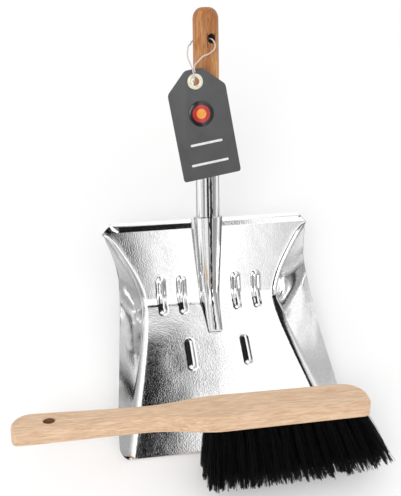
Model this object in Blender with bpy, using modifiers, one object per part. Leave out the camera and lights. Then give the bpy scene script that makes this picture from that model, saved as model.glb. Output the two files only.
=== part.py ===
# Dustpan and brush: a folded galvanised pan with a socketed wooden handle, a hang tag on a string,
# and a flat wooden hand brush standing on its bristles in front of the lip.
# Metres, +Z up, +Y from the lip to the handle.  Z = 0 is the floor both pieces stand on.
import math
import bpy
import bmesh
from mathutils import Matrix, Vector

MM = 0.001

# ---- pan -------------------------------------------------------------------------------------
SHEET = 0.7 * MM                 # galvanised sheet thickness
GAP = 0.3 * MM                   # clearance between neighbouring pieces
LIP_Y = -80 * MM                 # front lip
FLAT_RUN = 155 * MM              # flat floor, lip to start of bend
BEND_R = 20 * MM                 # radius of the bend between floor and back
BACK_ANGLE = math.radians(40)    # slope of the back
BACK_RUN = 62.5 * MM             # straight part of the back
FLANGE_RUN = 7.0 * MM            # short upright strip along the top
FLANGE_ANGLE = math.radians(54)
HEM_RUN, HEM_ANGLE = 3.0 * MM, math.radians(20)   # the strip's free edge is turned back
FRONT_HALF = 96.8 * MM             # half width between the side creases at the lip
WAIST_HALF = 57.3 * MM             # and where the two straight crease runs meet
TOP_HALF = 98.6 * MM              # and at the top of the back
WAIST_SOFT = 12.3 * MM           # rounding between the crease runs
CREASE_FILLET = 9 * MM
WALL_FRONT_X, WALL_WAIST_X, WALL_TOP_X = 107 * MM, 92.5 * MM, 103.5 * MM
WALL_FRONT_Z, WALL_WAIST_Z = 8 * MM, 41 * MM
CORNER_RUN = 9 * MM              # rounded front corner of each side wall
FLANGE_HALF = 90 * MM            # half width of the top strip at its free edge

BEAD_HIGH = 2.0 * MM
BEAD_HALF = 4.4 * MM
UPPER_BEADS = (27.5 * MM, 48.0 * MM)
UPPER_BEAD_AT, UPPER_BEAD_REACH = 165 * MM, 20 * MM
LOWER_BEADS = (27.5 * MM,)
LOWER_BEAD_AT, LOWER_BEAD_REACH = 100 * MM, 17 * MM

# ---- socket, tube and wooden handle -----------------------------------------------------------
CONE_TIP = 122 * MM              # distance from the lip to the tip of the socket
CONE_TIP_HALF, CONE_TIP_HIGH = 7.0 * MM, 4.5 * MM
CONE_MOUTH = 27.6 * MM           # outside diameter at the mouth
CONE_WALL = 0.8 * MM
CONE_EASE = 24 * MM              # reach over which the ridge of the socket eases across the bend
NOTCH_HALF = 14.2 * MM           # gap in the top strip where the socket passes
TUBE_R = 11.2 * MM
TUBE_WALL = 0.9 * MM
TUBE_IN = 8 * MM                 # tube inside the socket
TUBE_OUT = 84 * MM               # tube beyond the socket
WOOD_R = 12.25 * MM
WOOD_OUT = 116 * MM              # wood beyond the tube
WOOD_IN = 55 * MM                # wooden spigot inside the tube
HANDLE_ASKEW = math.radians(1.0)   # the handle is set a little to the right of the pan's centre line
WOOD_HOLE_R = 4.0 * MM
WOOD_HOLE_BACK = 29 * MM         # hole centre from the end of the handle
WOOD_HOLE_TURN = math.radians(17)

# ---- hang tag -----------------------------------------------------------------------------------
TAG_W, TAG_L, TAG_T = 56 * MM, 103 * MM, 1.0 * MM
TAG_SHOULDER = 19 * MM           # length of the cut corners along the tag
TAG_NECK = 16 * MM               # width of the short top edge
TAG_CORNER = 3.0 * MM
TAG_TURN = math.radians(10)      # swing away from the handle line
TAG_LIFT = 3.0 * MM              # clear height above the top of the wood
EYELET_DOWN = 11.5 * MM          # eyelet centre below the top edge
EYELET_IN, EYELET_OUT = 3.9 * MM, 7.4 * MM
EYELET_X, EYELET_BACK = -13.5 * MM, 68 * MM   # sideways, and back from the end of the handle
BADGE_R, BADGE_DOWN, BADGE_T = 12.0 * MM, 30.5 * MM, 1.3 * MM
STRING_R = 0.7 * MM

# ---- brush ----------------------------------------------------------------------------------------
BLOCK_L, BLOCK_T = 305.5 * MM, 14.5 * MM
GRIP_HALF, HEAD_HALF = 13.8 * MM, 17.4 * MM
NECK_BACK, NECK_FRONT = 9.8 * MM, 11.4 * MM
HEEL_SWELL = 3.2 * MM            # the front edge bulges where the bristles begin
FLARE_FROM, FLARE_TO = 0.37, 0.58
GRIP_BACK_R, GRIP_FRONT_R = 17 * MM, 6 * MM
TOE_BACK_R, TOE_FRONT_R = 21 * MM, 6 * MM
TOP_ROUND, BOTTOM_ROUND = 2.6 * MM, 1.0 * MM
HANG_R, HANG_AT = 5.0 * MM, 31.5 * MM
TUFT_COLS, TUFT_ROWS = 14, 3
FIELD_FROM, FIELD_TO = 169 * MM, 297 * MM
ROW_PITCH = 10.8 * MM
TUFT_LEN = 60.5 * MM
TUFT_ROOT_R = 4.4 * MM
TOE_SHORTER = 0.18               # bristles at the toe end are this much shorter
HEEL_LEAN, TOE_LEAN = math.radians(-1), math.radians(27)
ROW_SPREAD = math.radians(4.0)
BRUSH_AT = (-198.2 * MM, -64.8 * MM)  # end of the grip, in plan
BRUSH_YAW, BRUSH_LEAN, BRUSH_PITCH = math.radians(-1.0), math.radians(34), math.radians(1.4)


def clear():
    for ob in list(bpy.data.objects):
        bpy.data.objects.remove(ob, do_unlink=True)
    for old in list(bpy.data.collections):
        bpy.data.collections.remove(old)


def collection(name):
    col = bpy.data.collections.new(name)
    bpy.context.scene.collection.children.link(col)
    return col


def material(name, colour, metallic, rough):
    mat = bpy.data.materials.new(name)
    mat.use_nodes = True
    bsdf = mat.node_tree.nodes["Principled BSDF"]
    bsdf.inputs["Base Color"].default_value = (*colour, 1.0)
    bsdf.inputs["Metallic"].default_value = metallic
    bsdf.inputs["Roughness"].default_value = rough
    mat.diffuse_color = (*colour, 1.0)
    return mat


def part(name, verts, faces, mat, col, matrix=None):
    """One closed piece from points and faces, with outward normals."""
    mesh = bpy.data.meshes.new(name)
    mesh.from_pydata([tuple(v) for v in verts], [], faces)
    bm = bmesh.new()
    bm.from_mesh(mesh)
    bmesh.ops.recalc_face_normals(bm, faces=bm.faces)
    bm.to_mesh(mesh)
    bm.free()
    ob = bpy.data.objects.new(name, mesh)
    if matrix is not None:
        ob.matrix_world = matrix
    mesh.materials.append(mat)
    col.objects.link(ob)
    return ob


def cut(ob, cutter):
    mod = ob.modifiers.new("cut_" + cutter.name, "BOOLEAN")
    mod.operation, mod.solver, mod.object = "DIFFERENCE", "EXACT", cutter


def smooth(t):
    t = min(1.0, max(0.0, t))
    return t * t * (3 - 2 * t)


def loft(rings, close_ends=True):
    """Faces over equal closed rings, with flat end caps."""
    n = len(rings[0])
    verts = [v for ring in rings for v in ring]
    faces = []
    for i in range(len(rings) - 1):
        for j in range(n):
            k = (j + 1) % n
            faces.append((i * n + j, i * n + k, (i + 1) * n + k, (i + 1) * n + j))
    if close_ends:
        faces.append(tuple(range(n))[::-1])
        faces.append(tuple(range((len(rings) - 1) * n, len(rings) * n)))
    return verts, faces


def lathe(profile, sides, closed=False):
    """Solid of revolution about local Z from (radius, z) pairs; a closed profile makes a ring."""
    rings = [[Vector((r * math.cos(2 * math.pi * j / sides), r * math.sin(2 * math.pi * j / sides), z))
              for j in range(sides)] for r, z in profile]
    if closed:
        return loft(rings + [rings[0]], close_ends=False)
    return loft(rings)


# ---- pan surface ------------------------------------------------------------------------------------
ARC = BEND_R * BACK_ANGLE
SLOPE_END = FLAT_RUN + ARC + BACK_RUN


def profile(s):
    """Underside of the pan on its centre line at distance s from the lip: y, z, slope."""
    if s <= FLAT_RUN:
        return LIP_Y + s, 0.0, 0.0
    if s <= FLAT_RUN + ARC:
        a = (s - FLAT_RUN) / BEND_R
        return LIP_Y + FLAT_RUN + BEND_R * math.sin(a), BEND_R * (1 - math.cos(a)), a
    run = min(s, SLOPE_END) - FLAT_RUN - ARC
    y = LIP_Y + FLAT_RUN + BEND_R * math.sin(BACK_ANGLE) + run * math.cos(BACK_ANGLE)
    z = BEND_R * (1 - math.cos(BACK_ANGLE)) + run * math.sin(BACK_ANGLE)
    over = max(0.0, s - SLOPE_END)
    if over > 0:
        strip, hem = min(over, FLANGE_RUN), max(0.0, over - FLANGE_RUN)
        y += strip * math.cos(FLANGE_ANGLE) + hem * math.cos(HEM_ANGLE)
        z += strip * math.sin(FLANGE_ANGLE) + hem * math.sin(HEM_ANGLE)
        return y, z, FLANGE_ANGLE
    return y, z, BACK_ANGLE


WAIST_S = FLAT_RUN + ARC


def crease_half(s):
    """Half width of the floor: two straight runs with a softened meeting at the waist."""
    s = min(s, SLOPE_END)
    down = FRONT_HALF + (WAIST_HALF - FRONT_HALF) * s / WAIST_S
    up = WAIST_HALF + (TOP_HALF - WAIST_HALF) * (s - WAIST_S) / (SLOPE_END - WAIST_S)
    mid, half = (down + up) / 2, (down - up) / 2
    return mid + math.sqrt(half * half + WAIST_SOFT * WAIST_SOFT)


def wall_edge(s):
    """Free edge of the side wall that belongs to the floor line at distance s from the lip."""
    s = min(s, SLOPE_END)
    y = profile(s)[0]
    t = min(1.0, s / WAIST_S)
    x = WALL_FRONT_X + (WALL_WAIST_X - WALL_FRONT_X) * smooth(t)
    z = WALL_FRONT_Z + (WALL_WAIST_Z - WALL_FRONT_Z) * t ** 1.25
    if s > WAIST_S:
        k = (s - WAIST_S) / (SLOPE_END - WAIST_S)
        x = WALL_WAIST_X + (WALL_TOP_X - WALL_WAIST_X) * k ** 1.6
        top = profile(SLOPE_END)[1]
        z = WALL_WAIST_Z + (top - 0.5 * MM - WALL_WAIST_Z) * smooth(k)
    if s < CORNER_RUN:
        k = math.sqrt(max(0.0, 1 - (1 - s / CORNER_RUN) ** 2))
        x = FRONT_HALF + 3 * MM + (x - FRONT_HALF - 3 * MM) * k
        z = 1.0 * MM + (z - 1.0 * MM) * k
    return Vector((x, y, z))


def bead(x, s):
    """Height of the pressed beads above the sheet."""
    rise = 0.0
    for xs, at, reach in ((UPPER_BEADS, UPPER_BEAD_AT, UPPER_BEAD_REACH),
                          (LOWER_BEADS, LOWER_BEAD_AT, LOWER_BEAD_REACH)):
        for bx in xs:
            straight = max(0.0, abs(s - at) - (reach - BEAD_HALF))
            d = math.hypot(abs(x) - bx, straight) / BEAD_HALF
            rise = max(rise, BEAD_HIGH * smooth(1 - d))
    return rise


def pan_point(s, col):
    """Point of the underside: col < 0..1 floor (metres across), then fillet and wall fractions."""
    kind, value = col
    y, z, a = profile(s)
    n = Vector((0, -math.sin(a), math.cos(a)))
    half = crease_half(s)
    if s > SLOPE_END:
        k = (s - SLOPE_END) / (FLANGE_RUN + HEM_RUN)
        scale = 1 + (FLANGE_HALF / TOP_HALF - 1) * k
    else:
        k, scale = 0.0, 1.0
    fil = min(CREASE_FILLET, 0.45 * (wall_edge(s) - Vector((half, y, z))).length + 1.5 * MM)
    inner = half - fil
    if kind == "floor":
        x = value if value <= COLUMN_FIXED else COLUMN_FIXED + (inner - COLUMN_FIXED) * (value - 1)
        if value <= COLUMN_FIXED:
            return Vector((x, y, z)) + n * bead(x, s)
        return Vector((x * scale, y, z))
    corner = Vector((half, y, z))
    edge = wall_edge(s)
    out = (edge - corner)
    out.normalize()
    if kind == "fillet":
        p0, p2 = Vector((inner, y, z)), corner + out * fil
        p = p0 * (1 - value) ** 2 + corner * 2 * value * (1 - value) + p2 * value ** 2
    else:
        start = corner + out * fil
        p = start + (edge - start) * value
    if k > 0:
        top = Vector((min(p.x, TOP_HALF + 3 * MM) * scale, y, z))
        base_y, base_z, _ = profile(SLOPE_END)
        p = p + (top - Vector((p.x, y, p.z)))
        p.y, p.z = y, z
    return p


COLUMN_FIXED = 52.6 * MM


def pan_columns():
    fixed = [0, 7, 14.2, 19, 23.1, 24.6, 26.2, 27.5, 28.8, 30.4, 31.9, 37.8, 43.6, 45.0, 46.6, 48.0, 49.4, 51.0, 52.6]
    cols = [("floor", f * MM) for f in fixed]
    cols += [("floor", 1 + f) for f in (0.35, 0.7)]
    cols += [("fillet", f) for f in (0.0, 0.25, 0.5, 0.75, 1.0)]
    cols += [("wall", f) for f in (0.5, 1.0)]
    return cols


def pan_rows():
    rows = [0, 1.5, 4, 9, 20, 35, 50, 65, 78]
    rows += [LOWER_BEAD_AT / MM + d for d in (-17, -15.5, -13.5, -11, -5, 0, 5, 11, 13.5, 15.5, 17)]
    rows += [129, 134.5]
    rows += [UPPER_BEAD_AT / MM + d for d in (-20, -18.5, -16.5, -14, -10, -6, -2, 2, 6, 10, 14, 16.5, 18.5, 20)]
    rows += [192, 200, 208, 216, 224, SLOPE_END / MM]
    flange = [(SLOPE_END + run) / MM for run in (FLANGE_RUN * 0.5, FLANGE_RUN, FLANGE_RUN + HEM_RUN)]
    return [r * MM for r in rows if r * MM <= SLOPE_END + 1e-9] + [r * MM for r in flange]


def make_pan(mat, col):
    half_cols, rows = pan_columns(), pan_rows()
    width = 2 * len(half_cols) - 1
    verts = []
    for s in rows:
        right = [pan_point(s, c) for c in half_cols]
        verts += [Vector((-p.x, p.y, p.z)) for p in right[:0:-1]] + right
    centre = len(half_cols) - 1
    notch = 2                                     # columns each side of the middle inside the notch
    faces = []
    for i in range(len(rows) - 1):
        for j in range(width - 1):
            if rows[i] >= SLOPE_END - 1e-9 and centre - notch <= j < centre + notch:
                continue
            a = i * width + j
            faces.append((a, a + 1, a + width + 1, a + width))
    used = sorted({v for f in faces for v in f})
    index = {v: k for k, v in enumerate(used)}
    mesh = bpy.data.meshes.new("pan_sheet")
    mesh.from_pydata([tuple(verts[v]) for v in used], [], [tuple(index[v] for v in f) for f in faces])
    mesh.materials.append(mat)
    ob = bpy.data.objects.new("pan_sheet", mesh)
    col.objects.link(ob)
    solid = ob.modifiers.new("sheet", "SOLIDIFY")
    solid.thickness, solid.offset, solid.use_even_offset = SHEET, 1.0, True
    return ob


# ---- socket and handle --------------------------------------------------------------------------------
def sheet_frame(s, lift):
    """Point at height lift above the sheet on the centre line, run on straight past the top edge."""
    y, z, a = profile(min(s, SLOPE_END))
    beyond = max(0.0, s - SLOPE_END)
    on_slope = Vector((0, y + beyond * math.cos(a), z + beyond * math.sin(a)))
    return on_slope + Vector((0, -math.sin(a), math.cos(a))) * (SHEET + lift), a


CONE_END = SLOPE_END + 12.0 * MM


def cone_crest(s):
    """Ridge of the socket if it kept its height straight above the sheet."""
    t = (s - CONE_TIP) / (CONE_END - CONE_TIP)
    base, a = sheet_frame(s, GAP)
    return base + Vector((0, -math.sin(a), math.cos(a))) * (CONE_TIP_HIGH + (CONE_MOUTH - CONE_TIP_HIGH) * t)


def cone_ring(s, inset, count=24):
    """Section of the socket at s: its foot follows the sheet, its ridge bridges the bend in an easy curve."""
    t = (s - CONE_TIP) / (CONE_END - CONE_TIP)
    half = CONE_TIP_HALF + (CONE_MOUTH / 2 - CONE_TIP_HALF) * t
    base, _ = sheet_frame(s, GAP)
    ridge = sum((cone_crest(s + CONE_EASE * k / 4) for k in range(-4, 5)), Vector()) / 9
    high, n = (ridge - base).length, (ridge - base).normalized()
    mid = high / 2 * (0.25 + 0.75 * smooth(t * 1.1))
    ring = []
    for j in range(count):
        phi = 2 * math.pi * j / count
        up = (high - mid) if math.sin(phi) > 0 else mid
        ring.append(base + Vector(((half - inset) * math.cos(phi), 0, 0)) + n * (mid + (up - inset) * math.sin(phi)))
    return ring


def make_cone(mat, col):
    count = 24
    stations = [CONE_TIP + (CONE_END - CONE_TIP) * k / 13 for k in range(14)]
    outer = [cone_ring(s, 0.0) for s in stations]
    inner = [cone_ring(s, CONE_WALL) for s in stations[::-1][:-2]]
    verts, faces = loft(outer + inner)
    ob = part("socket_cone", verts, faces, mat, col)
    return ob


def mouth_axis():
    """Centre of the socket mouth and the unit direction of the handle."""
    rings = [cone_ring(s, 0.0) for s in (CONE_END - 20 * MM, CONE_END)]
    a, b = (sum(ring, Vector()) / len(ring) for ring in rings)
    return b, (b - a).normalized()


def handle_matrix(at=0.0):
    """Frame on the handle axis: local Z along the handle, local Y towards its upper side, local X to -X."""
    mouth, straight = mouth_axis()
    up = Vector((0, -straight.z, straight.y))
    d = straight * math.cos(HANDLE_ASKEW) + Vector((math.sin(HANDLE_ASKEW), 0, 0))
    side = up.cross(d)
    m = Matrix((side, up, d)).transposed().to_4x4()
    m.translation = mouth + d * at
    return m


def make_handle(tin, wood, col, cutters):
    sides = 28
    tube = [(TUBE_R, -TUBE_IN), (TUBE_R, TUBE_OUT), (TUBE_R - TUBE_WALL, TUBE_OUT), (TUBE_R - TUBE_WALL, -TUBE_IN)]
    verts, faces = lathe(tube, sides, closed=True)
    part("handle_tube", verts, faces, tin, col, handle_matrix())
    spigot = TUBE_R - TUBE_WALL - GAP
    start = TUBE_OUT + GAP
    end = TUBE_OUT + WOOD_OUT
    shape = [(spigot - 1.0 * MM, start - WOOD_IN), (spigot, start - WOOD_IN + 1.5 * MM), (spigot, start),
             (WOOD_R - 0.6 * MM, start), (WOOD_R, start + 1.0 * MM)]
    shape += [(WOOD_R, start + (WOOD_OUT - 12 * MM) * f) for f in (0.35, 0.7, 1.0)]
    nose = 11 * MM
    shape += [(3.0 * MM + (WOOD_R - 3.0 * MM) * math.cos(math.radians(d)),
               end - nose + nose * math.sin(math.radians(d))) for d in (18, 36, 54, 72, 90)]
    verts, faces = lathe(shape, sides)
    handle = part("wooden_handle", verts, faces, wood, col, handle_matrix())
    hole = [(WOOD_HOLE_R, -20 * MM), (WOOD_HOLE_R, 20 * MM)]
    verts, faces = lathe(hole, 20)
    turn = Matrix.Rotation(WOOD_HOLE_TURN, 4, "Z") @ Matrix.Rotation(math.radians(90), 4, "X")
    place = handle_matrix(end - WOOD_HOLE_BACK) @ turn
    cutter = part("handle_hole_cutter", verts, faces, wood, cutters, place)
    cut(handle, cutter)
    return handle


# ---- hang tag --------------------------------------------------------------------------------------------
def tag_matrix():
    """Frame at the eyelet: local Z out of the printed face, local Y towards the top of the tag."""
    end = TUBE_OUT + WOOD_OUT
    base = handle_matrix(end - EYELET_BACK)
    flat = base @ Matrix.Translation((-EYELET_X, WOOD_R + TAG_LIFT, 0))
    axes = Matrix(((-1, 0, 0, 0), (0, 0, 1, 0), (0, 1, 0, 0), (0, 0, 0, 1)))   # x right, y up the handle, z out
    return flat @ axes @ Matrix.Rotation(TAG_TURN, 4, "Z")


def rounded_outline(points, radius, steps=4):
    """Polygon with every corner replaced by an arc-like curve that starts `radius` from the corner."""
    out = []
    count = len(points)
    for i, p in enumerate(points):
        p, before, after = Vector(p), Vector(points[i - 1]), Vector(points[(i + 1) % count])
        r = radius if not isinstance(radius, (tuple, list)) else radius[i]
        a = p + (before - p).normalized() * r
        b = p + (after - p).normalized() * r
        for k in range(steps + 1):
            t = k / steps
            out.append(a * (1 - t) ** 2 + p * 2 * t * (1 - t) + b * t ** 2)
    return out


def tag_outline():
    top = EYELET_DOWN
    bottom = EYELET_DOWN - TAG_L
    pts = [(-TAG_NECK / 2, top), (-TAG_W / 2, top - TAG_SHOULDER), (-TAG_W / 2, bottom),
           (TAG_W / 2, bottom), (TAG_W / 2, top - TAG_SHOULDER), (TAG_NECK / 2, top)]
    return rounded_outline(pts, TAG_CORNER)


def make_tag(card, brass, badge, col, cutters):
    frame = tag_matrix()
    pivot = bpy.data.objects.new("hang_tag_pivot", None)
    pivot.matrix_world = frame
    col.objects.link(pivot)
    ring = tag_outline()
    rings = [[Vector((p.x, p.y, z)) for p in ring] for z in (0.0, TAG_T)]
    verts, faces = loft(rings)
    tag = part("tag_card", verts, faces, card, col)
    verts, faces = lathe([(EYELET_IN + 1.0 * MM + GAP, -2 * MM), (EYELET_IN + 1.0 * MM + GAP, 4 * MM)], 24)
    cutter = part("tag_hole_cutter", verts, faces, card, cutters)
    cut(tag, cutter)
    barrel = EYELET_IN + 1.0 * MM
    low, high = -GAP, TAG_T + GAP
    eyelet = [(EYELET_IN, low - 0.5 * MM), (barrel + 1.2 * MM, low - 0.5 * MM), (barrel + 1.2 * MM, low),
              (barrel, low), (barrel, high), (EYELET_OUT, high), (EYELET_OUT - 0.5 * MM, high + 0.8 * MM),
              (EYELET_IN + 1.0 * MM, high + 1.1 * MM), (EYELET_IN, high + 0.5 * MM)]
    verts, faces = lathe(eyelet, 24, closed=True)
    ring_ob = part("tag_eyelet", verts, faces, brass, col)
    dome = [(BADGE_R, TAG_T + GAP), (BADGE_R, TAG_T + GAP + 0.4 * MM)]
    dome += [(BADGE_R * f, TAG_T + GAP + 0.4 * MM + (BADGE_T - 0.4 * MM) * (1 - f * f)) for f in (0.85, 0.6, 0.3)]
    verts, faces = lathe(dome, 24)
    disc = part("tag_badge", [v + Vector((0, -BADGE_DOWN, 0)) for v in verts], faces,
                badge, col)
    for ob in (tag, cutter, ring_ob, disc):
        ob.parent = pivot
    return frame


def spline(points, per):
    """Smooth path through points."""
    out = []
    last = len(points) - 1
    for i in range(last):
        p0, p1, p2, p3 = (points[max(0, i - 1)], points[i], points[i + 1], points[min(last, i + 2)])
        for k in range(per):
            t = k / per
            out.append(0.5 * ((2 * p1) + (p2 - p0) * t + (2 * p0 - 5 * p1 + 4 * p2 - p3) * t * t
                              + (3 * p1 - p0 - 3 * p2 + p3) * t ** 3))
    out.append(points[-1])
    return out


def string_path(per=5):
    """From the back of the hole round the left of the handle to the eyelet, and back to the front."""
    end = TUBE_OUT + WOOD_OUT
    h = handle_matrix(end - WOOD_HOLE_BACK) @ Matrix.Rotation(WOOD_HOLE_TURN, 4, "Z")
    t = tag_matrix()

    def hole(x, y, z):
        return h @ Vector((x * MM, y * MM, z * MM))

    def tag(x, y, z):
        return t @ Vector((x * MM, y * MM, z * MM))

    back = [tag(-1.2, 0.5, -4.0), tag(-1.3, 0.0, 0.6), tag(-0.9, 3.4, 3.7), tag(-0.6, 7.8, 3.7), tag(-1.0, 14.0, 2.6)]
    left = [tag(-1.9, 23.5, -3.8), tag(1.2, 32.0, -9.0), hole(13.5, -5.5, -5.0), hole(7.5, -13.8, -2.2)]
    through = [hole(0.4, -13.4, 0.3), hole(0.0, -6.0, 0.0), hole(0.0, 6.0, 0.0), hole(-0.3, 11.4, -0.5)]
    front = [hole(-1.5, 14.3, -3.2), hole(-2.3, 14.6, -7.5), hole(0.6, 15.0, -11.3), hole(6.2, 15.6, -14.4)]
    down = [hole(11.3, 16.0, -16.0), hole(15.8, 15.8, -20.0), tag(1.3, 14.0, 3.2), tag(1.0, 8.4, 3.8)]
    return spline(back + left + through + front + down, per)


def tube_along(path, radius, sides):
    rings = []
    side = None
    for i, p in enumerate(path):
        d = (path[min(i + 1, len(path) - 1)] - path[max(i - 1, 0)]).normalized()
        if side is None:
            side = d.orthogonal().normalized()
        side = (side - d * side.dot(d)).normalized()
        up = d.cross(side)
        rings.append([p + (side * math.cos(2 * math.pi * j / sides) + up * math.sin(2 * math.pi * j / sides)) * radius
                      for j in range(sides)])
    return loft(rings)


# ---- brush ---------------------------------------------------------------------------------------------------
def block_half(x, side):
    """Half width at x; side +1 is the back edge, -1 the front one."""
    t = x / BLOCK_L
    neck = NECK_BACK if side > 0 else NECK_FRONT
    flare = smooth((t - FLARE_FROM) / (FLARE_TO - FLARE_FROM))
    half = GRIP_HALF + (neck - GRIP_HALF) * smooth(t / FLARE_FROM) + (HEAD_HALF - neck) * flare
    return half + (HEEL_SWELL * flare * min(1, (1 - t) / (1 - FLARE_TO)) if side < 0 else 0)


def block_side(side, inset):
    """One long edge of the block seen from above, from the middle of the grip end to that of the toe end."""
    grip_r, toe_r = (GRIP_BACK_R, TOE_BACK_R) if side > 0 else (GRIP_FRONT_R, TOE_FRONT_R)
    points = []
    for k in range(6):
        a = math.radians(18 * k)
        points.append((grip_r - (grip_r - inset) * math.cos(a),
                       block_half(grip_r, side) - grip_r + (grip_r - inset) * math.sin(a)))
    stations = [0.10, 0.19, 0.28] + [FLARE_FROM + (FLARE_TO - FLARE_FROM) * k / 6 for k in range(7)] + [0.7, 0.84]
    points += [(BLOCK_L * t, block_half(BLOCK_L * t, side) - inset) for t in stations]
    end = block_half(BLOCK_L - toe_r, side)
    for k in range(6):
        a = math.radians(90 - 18 * k)
        points.append((BLOCK_L - toe_r + (toe_r - inset) * math.cos(a), end - toe_r + (toe_r - inset) * math.sin(a)))
    return [(x, side * y) for x, y in points]


def block_outline(inset):
    return block_side(1, inset) + block_side(-1, inset)[::-1]


def block_rings():
    """Outlines of the block from the top face (local Z = 0) down to the bristle side."""
    rings = []
    for r, sign, base in ((TOP_ROUND, -1, 0.0), (BOTTOM_ROUND, 1, -BLOCK_T)):
        levels = [(r * (1 - math.sin(a)), base + sign * r * (1 - math.cos(a)))
                  for a in (math.radians(30 * k) for k in range(4))]
        rings += [[Vector((x, y, z)) for x, y in block_outline(inset)] for inset, z in levels[::-sign]]
    return rings


def tuft_axis(i, j):
    """Root point and direction of one tuft, in the frame of the block (top face at local Z = 0)."""
    t = i / (TUFT_COLS - 1)
    root = Vector((FIELD_FROM + (FIELD_TO - FIELD_FROM) * t, ROW_PITCH * (j - (TUFT_ROWS - 1) / 2), -BLOCK_T - GAP))
    lean = HEEL_LEAN + (TOE_LEAN - HEEL_LEAN) * t ** 1.15
    spread = ROW_SPREAD * (j - (TUFT_ROWS - 1) / 2)
    d = Vector((math.tan(lean), math.tan(spread), -1.0)).normalized()
    return root, d


def tuft_mesh(i, j, sides=10):
    root, d = tuft_axis(i, j)
    pitch = (FIELD_TO - FIELD_FROM) / (TUFT_COLS - 1)
    t = i / (TUFT_COLS - 1)
    down = TUFT_LEN * (1 - TOE_SHORTER * (0.3 * t + 0.7 * t ** 6))
    rings = []
    for k, f in enumerate((0.0, 0.12, 0.6, 1.0)):
        centre = root + d * (down * f / -d.z)
        rx = TUFT_ROOT_R + (pitch * 0.5 * (1 + 0.19 * f) - GAP * 0.7 - TUFT_ROOT_R) * min(1, f * 1.1)
        ry = TUFT_ROOT_R + (ROW_PITCH * 0.5 * (1 + 0.30 * f) - GAP * 0.8 - TUFT_ROOT_R) * min(1, f * 1.1)
        rings.append([centre + Vector((rx * math.cos(2 * math.pi * q / sides), ry * math.sin(2 * math.pi * q / sides), 0))
                      for q in range(sides)])
    return loft(rings)


def brush_rotation():
    x = Vector((math.cos(BRUSH_YAW) * math.cos(BRUSH_PITCH), math.sin(BRUSH_YAW) * math.cos(BRUSH_PITCH),
                math.sin(BRUSH_PITCH)))
    flat = (Vector((0, 0, 1)) - x * x.z).normalized()
    across = flat.cross(x)
    z = flat * math.cos(BRUSH_LEAN) + across * math.sin(BRUSH_LEAN)
    y = z.cross(x)
    return Matrix((x, y, z)).transposed().to_4x4()


def brush_matrix():
    """Block frame, raised until the lowest bristle tip stands on the floor."""
    rot = brush_rotation()
    low = min((rot @ v).z for i in range(TUFT_COLS) for j in range(TUFT_ROWS) for v in tuft_mesh(i, j)[0])
    rot.translation = Vector((BRUSH_AT[0], BRUSH_AT[1], -low + 0.2 * MM))
    return rot


def make_brush(wood, bristle, col, cutters):
    origin = bpy.data.objects.new("brush_origin", None)
    origin.matrix_world = brush_matrix()
    col.objects.link(origin)
    verts, faces = loft(block_rings())
    block = part("brush_block", verts, faces, wood, col)
    verts, faces = lathe([(HANG_R, -BLOCK_T - 5 * MM), (HANG_R, 5 * MM)], 24)
    cutter = part("hang_hole_cutter", [v + Vector((HANG_AT, 0, 0)) for v in verts], faces, wood, cutters)
    cut(block, cutter)
    pieces = [block, cutter]
    for i in range(TUFT_COLS):
        for j, row in enumerate(("front", "middle", "back")):
            verts, faces = tuft_mesh(i, j)
            pieces.append(part(f"tuft_{row}_{i + 1:02d}", verts, faces, bristle, col))
    for ob in pieces:
        ob.parent = origin


def hide(col):
    for ob in col.objects:
        ob.hide_render = True
        ob.display_type = "WIRE"


clear()
parts = collection("parts")
cutters = collection("cutters")
tin = material("galvanised_sheet", (0.72, 0.73, 0.74), 1.0, 0.28)
tin_cone = material("galvanised_socket", (0.68, 0.69, 0.70), 1.0, 0.32)
tin_tube = material("galvanised_tube", (0.70, 0.71, 0.72), 1.0, 0.30)
handle_wood = material("handle_wood", (0.62, 0.34, 0.16), 0.0, 0.45)
block_wood = material("block_wood", (0.82, 0.62, 0.42), 0.0, 0.5)
bristle = material("black_bristle", (0.02, 0.02, 0.022), 0.0, 0.5)
card = material("grey_card", (0.09, 0.09, 0.095), 0.0, 0.6)
brass = material("cream_eyelet", (0.75, 0.68, 0.52), 0.0, 0.4)
badge = material("tag_badge_enamel", (0.55, 0.08, 0.06), 0.0, 0.25)
twine = material("pale_string", (0.72, 0.68, 0.64), 0.0, 0.8)

make_pan(tin, parts)
make_cone(tin_cone, parts)
make_handle(tin_tube, handle_wood, parts, cutters)
make_tag(card, brass, badge, parts, cutters)
tube_verts, tube_faces = tube_along(string_path(), STRING_R, 8)
part("tag_string", tube_verts, tube_faces, twine, parts)
make_brush(block_wood, bristle, parts, cutters)
hide(cutters)
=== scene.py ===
# Looks for the dustpan and brush: finer sheet, socket, handle, tag, string and bristles round the frame.
# Metres, +Z up, +Y from the lip towards the handle, +X to the right; the floor is at Z = 0.
import math
import random
import bpy
import bmesh
from mathutils import Matrix, Vector, noise


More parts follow.
